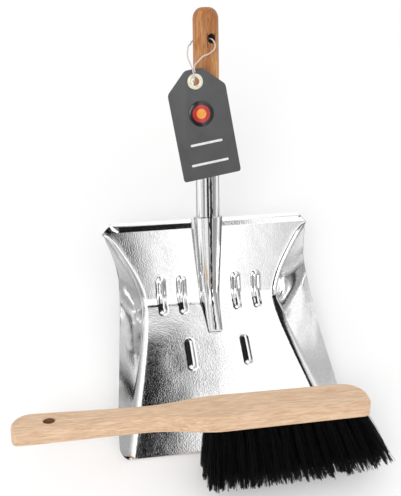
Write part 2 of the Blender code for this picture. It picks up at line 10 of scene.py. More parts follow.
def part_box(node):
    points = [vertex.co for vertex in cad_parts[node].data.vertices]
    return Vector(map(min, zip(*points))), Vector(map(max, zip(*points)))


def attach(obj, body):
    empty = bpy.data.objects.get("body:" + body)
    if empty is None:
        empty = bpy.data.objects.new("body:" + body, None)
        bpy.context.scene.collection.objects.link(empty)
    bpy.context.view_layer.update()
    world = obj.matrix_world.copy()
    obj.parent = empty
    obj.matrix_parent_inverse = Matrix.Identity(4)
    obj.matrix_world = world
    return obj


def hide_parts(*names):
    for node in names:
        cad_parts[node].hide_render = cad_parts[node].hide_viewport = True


MM = 0.001
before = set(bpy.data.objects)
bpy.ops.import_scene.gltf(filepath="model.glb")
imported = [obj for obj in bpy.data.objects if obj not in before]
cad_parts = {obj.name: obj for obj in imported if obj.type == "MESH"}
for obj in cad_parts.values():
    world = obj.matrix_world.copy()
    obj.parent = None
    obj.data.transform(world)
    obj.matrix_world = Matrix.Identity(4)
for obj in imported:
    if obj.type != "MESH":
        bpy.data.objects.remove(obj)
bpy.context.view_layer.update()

# ---- camera --------------------------------------------------------------------------------------
CAM_TARGET = Vector((-6, 122, 30)) * MM
CAM_DISTANCE = 958 * MM
CAM_YAW, CAM_ELEVATION, CAM_ROLL = math.radians(-17.1), math.radians(55.6), math.radians(-10.3)
CAM_LENS, CAM_SENSOR = 69.4, 36  # millimetres, for the long side of the picture

# ---- dimensions shared with the CAD --------------------------------------------------------------
SHEET, GAP = 0.7 * MM, 0.3 * MM
LIP_Y, FLAT_RUN, BEND_R = -80 * MM, 155 * MM, 20 * MM
BACK_ANGLE, BACK_RUN = math.radians(40), 62.5 * MM
WAIST_S = FLAT_RUN + BEND_R * BACK_ANGLE    # distance from the lip, along the sheet, to the waist
SLOPE_END = WAIST_S + BACK_RUN              # and to the foot of the top strip
FLANGE_RUN, FLANGE_ANGLE = 7 * MM, math.radians(54)
FRONT_HALF, WAIST_HALF, TOP_HALF = 96.8 * MM, 57.3 * MM, 98.6 * MM
WAIST_SOFT, CREASE_FILLET = 12.3 * MM, 5 * MM
WALL_FRONT_X, WALL_WAIST_X, WALL_TOP_X = 107 * MM, 92.5 * MM, 103.5 * MM
WALL_FRONT_Z, WALL_WAIST_Z = 8 * MM, 41 * MM
CORNER_RUN, FLANGE_HALF = 9 * MM, 90 * MM
HEM_RUN, HEM_ANGLE, RIM_STEP = 3 * MM, math.radians(20), 0.5 * MM
BEAD_HIGH, BEAD_HALF = 2.0 * MM, 4.4 * MM
BEADS = (((27.5 * MM, 48 * MM), 165 * MM, 20 * MM), ((27.5 * MM,), 100 * MM, 17 * MM))
CONE_TIP, CONE_TIP_HALF, CONE_TIP_HIGH = 122 * MM, 7 * MM, 4.5 * MM
CONE_MOUTH, CONE_WALL, CONE_EASE = 27.6 * MM, 0.8 * MM, 24 * MM
CONE_END = SLOPE_END + 12 * MM
NOTCH_HALF = 14.2 * MM           # gap in the top strip where the socket passes
TUBE_R, TUBE_WALL, TUBE_IN, TUBE_OUT = 11.2 * MM, 0.9 * MM, 8 * MM, 84 * MM
WOOD_R, WOOD_OUT, WOOD_IN, HANDLE_ASKEW = 12.25 * MM, 116 * MM, 55 * MM, math.radians(1.0)
WOOD_HOLE_R, WOOD_HOLE_BACK, WOOD_HOLE_TURN = 4 * MM, 29 * MM, math.radians(17)
TAG_W, TAG_L, TAG_T, TAG_NECK, TAG_SHOULDER = 56 * MM, 103 * MM, 1 * MM, 16 * MM, 19 * MM
TAG_CORNER, TAG_TURN, TAG_LIFT = 3 * MM, math.radians(10), 3 * MM
EYELET_DOWN, EYELET_IN, EYELET_OUT = 11.5 * MM, 3.9 * MM, 7.4 * MM
EYELET_X, EYELET_BACK = -13.5 * MM, 68 * MM
BADGE_R, BADGE_DOWN, BADGE_T = 12 * MM, 30.5 * MM, 1.3 * MM
STRING_R = 0.7 * MM
BLOCK_L, BLOCK_T, GRIP_HALF, HEAD_HALF = 305.5 * MM, 14.5 * MM, 13.8 * MM, 17.4 * MM
NECK_BACK, NECK_FRONT, HEEL_SWELL = 9.8 * MM, 11.4 * MM, 3.2 * MM
FLARE_FROM, FLARE_TO = 0.37, 0.58
GRIP_BACK_R, GRIP_FRONT_R, TOE_BACK_R, TOE_FRONT_R = 17 * MM, 6 * MM, 21 * MM, 6 * MM
TOP_ROUND, BOTTOM_ROUND = 2.6 * MM, 1.0 * MM
HANG_R, HANG_AT = 5 * MM, 31.5 * MM
TUFT_COLS, TUFT_ROWS = 14, 3
FIELD_FROM, FIELD_TO, ROW_PITCH, TUFT_LEN = 169 * MM, 297 * MM, 10.8 * MM, 60.5 * MM
HEEL_LEAN, TOE_LEAN, ROW_SPREAD, TOE_SHORTER = math.radians(-1), math.radians(27), math.radians(4), 0.18
BRUSH_X, BRUSH_Y = -198.2 * MM, -64.8 * MM
BRUSH_YAW, BRUSH_LEAN, BRUSH_PITCH = math.radians(-1.0), math.radians(34), math.radians(1.4)

# ---- finer detail of the looks -------------------------------------------------------------------
FLOOR_FIXED = 53 * MM            # the part of the floor whose grid lines run straight back
COL_STEP, ROW_STEP = 1.0 * MM, 1.25 * MM
FLOOR_COLS, FILLET_COLS, WALL_COLS = 8, 10, 14
FOLD_RUN = 1.6 * MM              # length of the folds at the foot of the top strip and of its hem
WALL_RISE, WALL_FLARE = 1.25, 1.6    # powers: how late the walls rise in front and flare behind
CORNER_OUT, CORNER_LOW = 3 * MM, 1 * MM
BEAD_CROWN = 1.15                # above 1, the crown of a bead is flat
SAG, BUCKLE, STRETCH, STRETCH_RUN = 0.22 * MM, 0.07 * MM, 0.8 * MM, 45 * MM
DENT_FREE = 25 * MM              # the dents die out over this length at the lip
SOCKET_SIDES, SOCKET_STATIONS, TUBE_SIDES, TUBE_STATIONS = 120, 60, 144, 36
SOCKET_FOOT, SOCKET_GROW = 0.25, 1.1    # height of its widest part, as a share, and how soon it rises
SEAM_DEEP, SEAM_WIDE, SEAM_LAP, SEAM_DARK = 0.55 * MM, 0.8 * MM, 0.25 * MM, 1.2 * MM
LAP_EDGE, LAP_RUN = 0.4 * MM, 6 * MM
TUBE_SEAM_TURN = math.radians(6)
WOOD_NOSE, WOOD_NOSE_FLAT = 11 * MM, 3 * MM
BADGE_RINGS = (0.72, 0.40)       # outer edges of the middle and inner rings, as shares of the radius
STRING_STEPS, STRING_SIDES, STRING_PLIES, STRING_LAY = 40, 16, 2, 3.2 * MM
STRANDS, CLUMP, STRAND_R, STRAND_RINGS = 230, 9, 0.27 * MM, 5
TUFT_HOLE_R, STRAND_SUNK = 4.0 * MM, 1.0 * MM
STRAY, WILD_STRAY, WILD_SHARE, SNAPPED_SHARE = 0.55, 2.6, 0.04, 0.05    # strays in millimetres

# widening of a drilled hole and height outside the surface, in millimetres, from the bore outwards
HANDLE_MOUTH = ((0.0, -1.65), (0.3, -0.65), (1.0, 0.35), (3.0, 3.75))
BLOCK_MOUTH = ((0.0, -1.4), (0.45, -0.35), (1.0, 0.2), (4.0, 2.6))

# ---- sizes of the textures, in features per metre ------------------------------------------------
CRYSTALS, SPECKS, CLOUDS, RIPPLES = 420.0, 850.0, 14.0, 22.0
BROAD_GRAIN, RINGS, FIBRES, FLECKS = 46.0, 620.0, 1100.0, 480.0
PAPER_TOOTH, PAPER_CLOUDS, HAIRS = 2600.0, 60.0, 700.0

# ---- colours, dark to light ----------------------------------------------------------------------
ORANGE_BEECH = ((0.21, 0.052, 0.008), (0.44, 0.165, 0.036), (0.66, 0.33, 0.11))
PALE_BEECH = ((0.56, 0.345, 0.195), (0.70, 0.475, 0.305), (0.79, 0.58, 0.40))

# ---- light and ground ----------------------------------------------------------------------------
WORLD_LEVEL, DOME_LEVEL, DOME_R = 1.0, 1.15, 6.0
STUDIO_HALF, FLOOR_DROP = 4.0, 0.4 * MM
CORNERS = ((-1, -1), (1, -1), (1, 1), (-1, 1))    # of a rectangle, in halves of its sides
KEY_AT, KEY_LOOK, KEY_SIZE, KEY_POWER = (-0.7, -0.9, 1.6), (0, 0.05, 0), 0.9, 7

# brightness of the dome from its left edge (0) to its right edge (1), in the part that each face mirrors
SEEN_BY_SLOPE = [(0.0, 0.22), (0.15, 0.18), (0.21, 0.85), (0.30, 0.75), (0.36, 0.01), (0.533, 0.01),
                 (0.547, 1.0), (0.614, 1.0), (0.628, 0.50), (0.66, 0.60), (0.74, 0.25), (1.0, 0.20)]
SEEN_BY_CREASE = [(0.0, 0.30), (0.16, 0.85), (0.34, 0.55), (0.44, 0.01), (0.495, 0.01), (0.515, 1.0),
                  (0.72, 1.0), (0.90, 0.45), (1.0, 0.30)]
SEEN_BY_FLOOR = [(0.0, 0.02), (0.554, 0.01), (0.564, 1.0), (0.75, 1.0), (1.0, 0.5)]


def smooth(t):
    """Eased step: 0 up to t = 0, 1 from t = 1."""
    t = min(1.0, max(0.0, t))
    return t * t * (3 - 2 * t)


def new_object(name, verts, faces, mat, body=None, shade=True, matrix=None, recalc=True):
    """Mesh object in the scene, its vertices moved by the matrix; with a body given, it rides on it."""
    mesh = bpy.data.meshes.new(name)
    mesh.from_pydata([tuple(v) for v in verts], [], faces)
    if recalc:
        bm = bmesh.new()
        bm.from_mesh(mesh)
        bmesh.ops.recalc_face_normals(bm, faces=bm.faces)
        bm.to_mesh(mesh)
        bm.free()
    mesh.polygons.foreach_set("use_smooth", [shade] * len(mesh.polygons))
    ob = bpy.data.objects.new(name, mesh)
    if matrix is not None:
        mesh.transform(matrix)
    bpy.context.scene.collection.objects.link(ob)
    if mat:
        mesh.materials.append(mat)
    if body:
        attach(ob, body)
    return ob


def apply_modifiers(ob):
    """Leaves the object with its evaluated mesh and no modifiers."""
    graph = bpy.context.evaluated_depsgraph_get()
    done = bpy.data.meshes.new_from_object(ob.evaluated_get(graph), depsgraph=graph)
    ob.modifiers.clear()
    old, ob.data = ob.data, done
    bpy.data.meshes.remove(old)


def loft(rings, close_ends=True, wrap=False):
    """Skin over closed rings; wrap joins the last ring to the first."""
    n = len(rings[0])
    verts = [v for ring in rings for v in ring]
    faces = []
    for i in range(len(rings) - (0 if wrap else 1)):
        a, b = i * n, ((i + 1) % len(rings)) * n
        faces += [(a + j, a + (j + 1) % n, b + (j + 1) % n, b + j) for j in range(n)]
    if close_ends and not wrap:
        faces.append(tuple(range(n))[::-1])
        faces.append(tuple(range((len(rings) - 1) * n, len(rings) * n)))
    return verts, faces


def lathe(profile, sides, **ends):
    """Turns a profile of radii and heights round Z."""
    rings = []
    for r, z in profile:
        turns = [2 * math.pi * j / sides for j in range(sides)]
        rings.append([Vector((r * math.cos(turn), r * math.sin(turn), z)) for turn in turns])
    return loft(rings, **ends)


def sharpen(ob, degrees):
    """Smooth shading except across creases steeper than the angle."""
    bm = bmesh.new()
    bm.from_mesh(ob.data)
    for e in bm.edges:
        e.smooth = len(e.link_faces) == 2 and e.calc_face_angle(0) < math.radians(degrees)
    bm.to_mesh(ob.data)
    bm.free()


# ---- materials -----------------------------------------------------------------------------------
class Nodes:
    """Small helper for building node materials."""

    def __init__(self, name):
        self.mat = bpy.data.materials.new(name)
        self.mat.use_nodes = True
        self.tree = self.mat.node_tree
        self.bsdf = self.tree.nodes["Principled BSDF"]
        self.count = 0

    def add(self, kind, **values):
        """New node; each value is one of its properties or, spelt like the socket, an input."""
        node = self.tree.nodes.new(kind)
        node.location = (-220 * (1 + self.count % 6), -260 * (self.count // 6))
        self.count += 1
        for key, value in values.items():
            if hasattr(node, key):
                setattr(node, key, value)
            else:
                self.put(node.inputs[key.replace("_", " ")], value)
        return node

    def put(self, socket, value):
        if isinstance(value, bpy.types.NodeSocket):
            self.tree.links.new(value, socket)
        elif isinstance(value, (int, float)):
            socket.default_value = value
        else:
            value = tuple(value)
            socket.default_value = value + (1.0,) if len(value) == 3 and socket.type == "RGBA" else value

    def coords(self, scale=(1, 1, 1), matrix=None):
        """Object coordinates, turned into the axes of the matrix and then stretched."""
        out = self.add("ShaderNodeTexCoord").outputs["Object"]
        turned = tuple(matrix.to_3x3().inverted().to_euler()) if matrix is not None else (0, 0, 0)
        for change in ({"Rotation": turned}, {"Scale": scale}):
            out = self.add("ShaderNodeMapping", Vector=out, **change).outputs["Vector"]
        return out

    def noise(self, vector, scale, detail=3.0, rough=0.55, distortion=0.0):
        node = self.add("ShaderNodeTexNoise", Vector=vector, Scale=scale, Detail=detail, Roughness=rough,
                        Distortion=distortion)
        return node.outputs["Fac"]

    def cells(self, vector, scale):
        return self.add("ShaderNodeTexVoronoi", feature="F1", Vector=vector, Scale=scale)

    def ramp(self, fac, stops):
        """Colour ramp; each stop is a place and a colour or a grey."""
        node = self.add("ShaderNodeValToRGB", Fac=fac)
        elements = node.color_ramp.elements
        while len(elements) < len(stops):
            elements.new(0.5)
        for element, (at, colour) in zip(elements, stops):
            element.position = at
            element.color = (colour,) * 3 + (1.0,) if isinstance(colour, float) else (*colour, 1.0)
        return node.outputs["Color"]

    def span(self, value, low, high, to_low, to_high):
        """Carries low to high over to to_low to to_high, and stays inside."""
        node = self.add("ShaderNodeMapRange", Value=value, From_Min=low, From_Max=high, To_Min=to_low,
                        To_Max=to_high)
        return node.outputs["Result"]

    def math(self, op, a, b=0.0):
        node = self.add("ShaderNodeMath", operation=op)
        self.put(node.inputs[0], a)
        self.put(node.inputs[1], b)
        return node.outputs[0]

    def total(self, first, *others):
        for other in others:
            first = self.math("ADD", first, other)
        return first

    def times(self, a, b):
        return self.math("MULTIPLY", a, b)

    def mix(self, fac, a, b, blend="MIX"):
        node = self.add("ShaderNodeMix", data_type="RGBA", blend_type=blend)
        self.put(node.inputs["Factor"], fac)
        self.put(node.inputs[6], a)
        self.put(node.inputs[7], b)
        return node.outputs[2]

    def bump(self, height, strength, distance, normal=None):
        node = self.add("ShaderNodeBump", Height=height, Strength=strength, Distance=distance)
        if normal is not None:
            self.put(node.inputs["Normal"], normal)
        return node.outputs["Normal"]

    def set(self, **values):
        """Inputs of the shader; gives the material back."""
        for key, value in values.items():
            self.put(self.bsdf.inputs[key.replace("_", " ")], value)
        return self.mat


def zinc(name, tone=0.95, grain=0.036, ripple=0.10, edge=0.75):
    """Bright galvanised sheet: mirror-like, with a crystal grain, faint spangles and a slow ripple.

    grain and ripple are the heights, in millimetres, of the two reliefs; edge dims it at glancing angles."""
    n = Nodes(name)
    at = n.coords()
    crystal = n.add("ShaderNodeSeparateColor", Color=n.cells(at, CRYSTALS).outputs["Color"])
    red, green = (crystal.outputs[channel] for channel in ("Red", "Green"))
    speck = n.noise(at, SPECKS, 1.5, 0.6)
    cloud = n.noise(at, CLOUDS, 4.0, 0.6, 0.4)
    level = n.total(n.span(red, 0, 1, -0.03, 0.02), n.span(speck, 0.3, 0.7, -0.05, 0.02),
                    n.span(cloud, 0.3, 0.7, -0.02, 0.02), tone)
    colour = n.add("ShaderNodeCombineColor", Red=level, Green=level, Blue=level)
    rough = n.total(n.span(green, 0, 1, 0.04, 0.08), n.span(cloud, 0.35, 0.7, 0.0, 0.03))
    fine = n.bump(speck, 1.0, grain * MM)
    slow = n.bump(n.noise(at, RIPPLES, 2.0, 0.5, 0.6), 1.0, ripple * MM, fine)
    return n.set(Base_Color=colour.outputs["Color"], Metallic=1.0, Roughness=rough, Normal=slow,
                 Specular_Tint=(edge, edge, edge))


def wood(name, tones, matrix, grain_axis, rough, coat, fleck=0.35, wild=0.25):
    """Beech: long wavy grain with short darker flecks, running along one axis of the matrix.

    tones runs dark to light; fleck is the strength of the flecks and wild the share of broad figure."""
    dark, mid, light = tones
    n = Nodes(name)
    n.set(Coat_Weight=coat, Coat_Roughness=0.12)

    def along(squeeze):
        """Coordinates that draw a texture out along the grain."""
        return n.coords(tuple(squeeze if axis == grain_axis else 1.0 for axis in range(3)), matrix)

    broad = n.noise(along(0.16), BROAD_GRAIN, 3.0, 0.55, 1.6)
    rings = n.noise(along(0.10), RINGS, 4.0, 0.62, 0.8)
    fibres = n.noise(along(0.045), FIBRES, 3.0, 0.6)
    mixed = n.total(n.times(rings, 1 - wild), n.times(broad, wild))
    colour = n.ramp(mixed, [(0.36, dark), (0.50, mid), (0.64, light)])
    spot = n.ramp(n.cells(along(0.16), FLECKS).outputs["Distance"], [(0.0, 1.0), (0.30, 0.0)])
    colour = n.mix(n.times(spot, fleck), colour, tuple(c * 0.62 for c in dark))
    colour = n.mix(n.span(fibres, 0.42, 0.72, 0.0, 0.34), colour, tuple(c * 0.7 for c in dark))
    normal = n.bump(n.total(n.times(fibres, 0.6), n.times(spot, -0.4)), 0.22, 0.3 * MM)
    return n.set(Base_Color=colour, Normal=normal,
                 Roughness=n.span(rings, 0.3, 0.7, rough - 0.06, rough + 0.08))


def bristle_material():
    """Black fibre, hardly shining, uneven along its length."""
    n = Nodes("bristle_black")
    tone = n.noise(n.coords((1, 1, 0.12)), HAIRS, 2.0)
    colour = n.ramp(tone, [(0.30, 0.0005), (0.72, 0.004)])
    n.set(Specular_IOR_Level=0.14)
    return n.set(Base_Color=colour, Roughness=n.span(tone, 0.3, 0.7, 0.40, 0.60))


def card_material():
    """Dark card with a fine paper tooth; the rules and the badge on it are pieces of their own."""
    n = Nodes("tag_print")
    at = n.coords()
    tooth = n.noise(at, PAPER_TOOTH, 3.0, 0.6)
    cloud = n.noise(at, PAPER_CLOUDS, 3.0, 0.6)
    grey = n.ramp(n.total(n.times(tooth, 0.5), n.times(cloud, 0.5)),
                  [(0.3, (0.066, 0.067, 0.070)), (0.7, (0.092, 0.093, 0.096))])
    return n.set(Base_Color=grey, Roughness=n.span(cloud, 0.3, 0.7, 0.42, 0.56),
                 Normal=n.bump(tooth, 0.15, 0.2 * MM))


def plain(name, colour, rough, metallic=0.0, coat=0.0, vary=0.12, scale=300.0, bump=0.1):
    """Simple finish with slight mottling and tooth."""
    n = Nodes(name)
    spot = n.noise(n.coords(), scale, 3.0, 0.6)
    low, high = (tuple(min(1.0, c * (1 + step)) for c in colour) for step in (-vary, vary))
    n.set(Metallic=metallic, Coat_Weight=coat, Coat_Roughness=0.06)
    return n.set(Base_Color=n.ramp(spot, [(0.3, low), (0.7, high)]), Normal=n.bump(spot, bump, 0.3 * MM),
                 Roughness=n.span(spot, 0.3, 0.7, rough * 0.85, rough * 1.15))


# ---- pan -----------------------------------------------------------------------------------------
def profile(s):
    """Underside of the pan on its centre line at distance s from the lip: y, z, slope."""
    if s <= FLAT_RUN:
        return LIP_Y + s, 0.0, 0.0
    if s <= WAIST_S:
        a = (s - FLAT_RUN) / BEND_R
        return LIP_Y + FLAT_RUN + BEND_R * math.sin(a), BEND_R * (1 - math.cos(a)), a
    run = min(s, SLOPE_END) - WAIST_S
    over = max(0.0, s - SLOPE_END)
    y = LIP_Y + FLAT_RUN + BEND_R * math.sin(BACK_ANGLE) + run * math.cos(BACK_ANGLE)
    z = BEND_R * (1 - math.cos(BACK_ANGLE)) + run * math.sin(BACK_ANGLE)
    tilt = BACK_ANGLE
    for k in range(round(over / RIM_STEP)):
        at = (k + 0.5) * RIM_STEP
        tilt = BACK_ANGLE + (FLANGE_ANGLE - BACK_ANGLE) * smooth(at / FOLD_RUN)
        tilt += (HEM_ANGLE - FLANGE_ANGLE) * smooth((at - FLANGE_RUN) / FOLD_RUN + 0.5)
        y, z = y + RIM_STEP * math.cos(tilt), z + RIM_STEP * math.sin(tilt)
    return y, z, tilt


def crease_half(s):
    """Half the width between the creases where floor and walls meet: narrowest, and rounded, at the waist."""
    s = min(s, SLOPE_END)
    down = FRONT_HALF + (WAIST_HALF - FRONT_HALF) * s / WAIST_S
    up = WAIST_HALF + (TOP_HALF - WAIST_HALF) * (s - WAIST_S) / (SLOPE_END - WAIST_S)
    return (down + up) / 2 + math.hypot((down - up) / 2, WAIST_SOFT)


def wall_edge(s):
    """Free edge of the side wall that belongs to the floor line at distance s from the lip."""
    s = min(s, SLOPE_END)
    t = min(1.0, s / WAIST_S)
    x = WALL_FRONT_X + (WALL_WAIST_X - WALL_FRONT_X) * smooth(t)
    z = WALL_FRONT_Z + (WALL_WAIST_Z - WALL_FRONT_Z) * t ** WALL_RISE
    if s > WAIST_S:
        k = (s - WAIST_S) / (SLOPE_END - WAIST_S)
        x = WALL_WAIST_X + (WALL_TOP_X - WALL_WAIST_X) * k ** WALL_FLARE
        z = WALL_WAIST_Z + (profile(SLOPE_END)[1] - 0.5 * MM - WALL_WAIST_Z) * smooth(k)
    if s < CORNER_RUN:
        k = math.sqrt(max(0.0, 1 - (1 - s / CORNER_RUN) ** 2))
        start = FRONT_HALF + CORNER_OUT
        x, z = start + (x - start) * k, CORNER_LOW + (z - CORNER_LOW) * k
    return Vector((x, profile(s)[0], z))


def bead(x, s):
    """Height of the pressed beads at a place on the sheet."""
    rise = 0.0
    for xs, at, reach in BEADS:
        straight = max(0.0, abs(s - at) - (reach - BEAD_HALF))
        for bx in xs:
            off = math.hypot(abs(x) - bx, straight) / BEAD_HALF
            rise = max(rise, BEAD_HIGH * smooth(BEAD_CROWN * (1 - off)))
    return rise


def pan_columns():
    """Half of the pan's grid lines, from the centre line out: the zone that each is in, and where."""
    count = round(FLOOR_FIXED / COL_STEP)
    cols = [("fixed", FLOOR_FIXED * k / count) for k in range(count + 1)]
    cols += [("floor", k / FLOOR_COLS) for k in range(1, FLOOR_COLS)]
    cols += [("fillet", k / FILLET_COLS) for k in range(FILLET_COLS + 1)]
    return cols + [("wall", k / WALL_COLS) for k in range(1, WALL_COLS + 1)]


def turn_corner(start, corner, end, t):
    """Point at t on the curve that leaves start towards the corner and comes to the end from it."""
    return start * (1 - t) ** 2 + corner * 2 * t * (1 - t) + end * t ** 2


def pan_point(s, kind, value, side):
    y, z, a = profile(s)
    over = max(0.0, s - SLOPE_END)
    half, edge = crease_half(s), wall_edge(s)
    corner = Vector((half, y, z))
    wall = (edge - Vector((half, *profile(min(s, SLOPE_END))[:2]))).length
    fillet = min(CREASE_FILLET, 0.45 * wall + 1.5 * MM)
    if over:
        edge = Vector((edge.x, y, z))
    inner = half - fillet
    up = Vector((0, -math.sin(a), math.cos(a)))
    if kind == "fixed":
        p = Vector((value, y, z)) + up * bead(value, s)
    elif kind == "floor":
        p = Vector((FLOOR_FIXED + (inner - FLOOR_FIXED) * value, y, z))
    else:
        far = corner + (edge - corner).normalized() * fillet
        if kind == "fillet":
            p = turn_corner(Vector((inner, y, z)), corner, far, value)
        else:
            p = far + (edge - far) * value
    if over:
        narrow = 1 + (FLANGE_HALF / TOP_HALF - 1) * over / (FLANGE_RUN + HEM_RUN)
        if kind != "fixed":
            p.x *= narrow
        p.y, p.z = y, z
    p.x *= side
    return p + up * dents(p, s, value if kind == "wall" else 0.0)


def dents(p, s, on_wall):
    """Slow oil-canning of the sheet, dying out at the lip, and stretch marks of the walls at the waist."""
    q = Vector((p.x * 16, p.y * 14, p.z * 14))
    rise = SAG * noise.noise(q) + BUCKLE * noise.noise(q * 2.7 + Vector((4, 1, 7)))
    if on_wall:
        near = math.exp(-((s - WAIST_S) / STRETCH_RUN) ** 2)
        swirl = Vector((p.z * 44, p.y * 30 + 2.5 * noise.noise(p * 28), p.x * 18))
        rise += on_wall * (0.3 + near) * STRETCH * noise.noise(swirl)
    return smooth(s / DENT_FREE) * rise


def make_pan(mat):
    half_cols = pan_columns()
    count = round(SLOPE_END / ROW_STEP)
    rows = [SLOPE_END * k / count for k in range(count + 1)]
    rows += [SLOPE_END + RIM_STEP * k for k in range(1, round((FLANGE_RUN + HEM_RUN) / RIM_STEP) + 1)]
    width = 2 * len(half_cols) - 1
    middle = len(half_cols) - 1
    verts = []
    for s in rows:
        verts += [pan_point(s, *c, -1) for c in half_cols[:0:-1]] + [pan_point(s, *c, 1) for c in half_cols]
    notch = round(NOTCH_HALF / COL_STEP)
    faces = []
    for i in range(len(rows) - 1):
        for j in range(width - 1):
            if rows[i] >= SLOPE_END - 1e-9 and middle - notch <= j < middle + notch:
                continue
            a = i * width + j
            faces.append((a, a + 1, a + width + 1, a + width))
    pan = new_object("pan_sheet_fine", verts, faces, mat, recalc=False)
    bm = bmesh.new()
    bm.from_mesh(pan.data)
    bmesh.ops.delete(bm, geom=[v for v in bm.verts if not v.link_faces], context="VERTS")
    bm.to_mesh(pan.data)
    bm.free()
    solid = pan.modifiers.new("sheet", "SOLIDIFY")
    solid.thickness, solid.offset, solid.use_even_offset = SHEET, 1.0, True
    apply_modifiers(pan)
    sharpen(pan, 50)
    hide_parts("pan_sheet")
    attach(pan, "dustpan")


# ---- socket and handle ---------------------------------------------------------------------------
def cone_frame(s):
    """Foot of the socket on the sheet at distance s from the lip, and the way up from there."""
    y, z, a = profile(min(s, SLOPE_END))
    a = min(a, BACK_ANGLE)
    beyond = max(0.0, s - SLOPE_END)
    up = Vector((0, -math.sin(a), math.cos(a)))
    return Vector((0, y + beyond * math.cos(a), z + beyond * math.sin(a))) + up * (SHEET + GAP), up


def cone_crest(s):
    base, up = cone_frame(s)
    return base + up * (CONE_TIP_HIGH + (CONE_MOUTH - CONE_TIP_HIGH) * (s - CONE_TIP) / (CONE_END - CONE_TIP))


def cone_ring(s, inset, count=SOCKET_SIDES, seam=True):
    """Section of the socket: its foot follows the sheet, its ridge bridges the bend in an easy curve."""
    t = (s - CONE_TIP) / (CONE_END - CONE_TIP)
    half = CONE_TIP_HALF + (CONE_MOUTH / 2 - CONE_TIP_HALF) * t
    base, _ = cone_frame(s)
    ridge = sum((cone_crest(s + CONE_EASE * k / 4) for k in range(-4, 5)), Vector()) / 9
    high, up = (ridge - base).length, (ridge - base).normalized()
    mid = high / 2 * (SOCKET_FOOT + (1 - SOCKET_FOOT) * smooth(t * SOCKET_GROW))
    ring = []
    for j in range(count):
        phi = 2 * math.pi * j / count
        lift = (high - mid) if math.sin(phi) > 0 else mid
        r = -inset
        if seam:
            off = (phi - math.pi / 2) * half           # distance round from the ridge
            r -= SEAM_DEEP * math.exp(-(off / SEAM_WIDE) ** 2)
            r += SEAM_LAP * smooth(off / LAP_EDGE + 0.5) * smooth(1 - off / LAP_RUN)
        aside = Vector(((half + r) * math.cos(phi), 0, 0))
        ring.append(base + aside + up * (mid + (lift + r) * math.sin(phi)))
    return ring


def mouth_axis():
    """Centre of the socket's mouth, and the way that the socket runs there."""
    sides, back = 24, 20 * MM
    rings = [cone_ring(s, 0.0, sides, False) for s in (CONE_END - back, CONE_END)]
    behind, mouth = (sum(ring, Vector()) / sides for ring in rings)
    return mouth, (mouth - behind).normalized()


def handle_matrix(at=0.0):
    """Local Z runs up the handle, local Y points to its upper side."""
    mouth, straight = mouth_axis()
    up = Vector((0, -straight.z, straight.y))
    d = straight * math.cos(HANDLE_ASKEW) + Vector((math.sin(HANDLE_ASKEW), 0, 0))
    m = Matrix((up.cross(d), up, d)).transposed().to_4x4()
    m.translation = mouth + d * at
    return m


def darken_seam(ob, sides, turn, mat):
    """Shadow, uneven in width, in the open butt seam that runs along the top, turned by an angle."""
    ob.data.materials.append(mat)
    for k, poly in enumerate(ob.data.polygons):
        along, j = divmod(k, sides)
        off = (j + 0.5) / sides * 2 * math.pi - math.pi / 2 - turn
        wide = SEAM_DARK * (0.75 + 1.1 * noise.noise(Vector((along * 0.35, 3.0, 0.5 if off > 0 else 7.0))))
        if abs(off) * TUBE_R < wide:
            poly.material_index = 1


def make_socket(mat, seam):
    step = (CONE_END - CONE_TIP) / SOCKET_STATIONS
    stations = [CONE_TIP + step * k for k in range(SOCKET_STATIONS + 1)]
    tip = [cone_ring(CONE_TIP + 0.02 * MM, inset, seam=False) for inset in (1.2 * MM, 0.5 * MM)]
    outer = [cone_ring(s, 0.25 * MM if s == CONE_TIP else 0.0) for s in stations]
    lip = [cone_ring(CONE_END + 0.25 * MM, CONE_WALL / 2)]
    inner = [cone_ring(s, CONE_WALL, seam=False) for s in stations[:4:-1]]    # stops short of the tip
    verts, faces = loft(tip + outer + lip + inner)
    cone = new_object("socket_fine", verts, faces, mat, "dustpan")
    darken_seam(cone, SOCKET_SIDES, 0.0, seam)
    sharpen(cone, 60)
    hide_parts("socket_cone")


def make_tube(mat, seam):
    edge, length = 0.2 * MM, TUBE_IN + TUBE_OUT
    bore = TUBE_R - TUBE_WALL
    shape = [(TUBE_R - edge, -TUBE_IN), (TUBE_R, -TUBE_IN + edge)]
    shape += [(TUBE_R, -TUBE_IN + length * k / TUBE_STATIONS) for k in range(1, TUBE_STATIONS)]
    shape += [(TUBE_R, TUBE_OUT - edge), (TUBE_R - edge, TUBE_OUT), (bore, TUBE_OUT), (bore, -TUBE_IN)]
    rings = []
    for radius, z in shape:
        ring = []
        for j in range(TUBE_SIDES):
            phi = 2 * math.pi * j / TUBE_SIDES
            off = (phi - math.pi / 2 - TUBE_SEAM_TURN) * TUBE_R
            groove = SEAM_DEEP * math.exp(-(off / SEAM_WIDE) ** 2) if radius > bore else 0.0
            r = radius - groove
            ring.append(Vector((r * math.cos(phi), r * math.sin(phi), z)))
        rings.append(ring)
    verts, faces = loft(rings, wrap=True)
    tube = new_object("handle_tube_fine", verts, faces, mat, "dustpan", matrix=handle_matrix())
    darken_seam(tube, TUBE_SIDES, TUBE_SEAM_TURN, seam)
    sharpen(tube, 60)
    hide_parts("handle_tube")


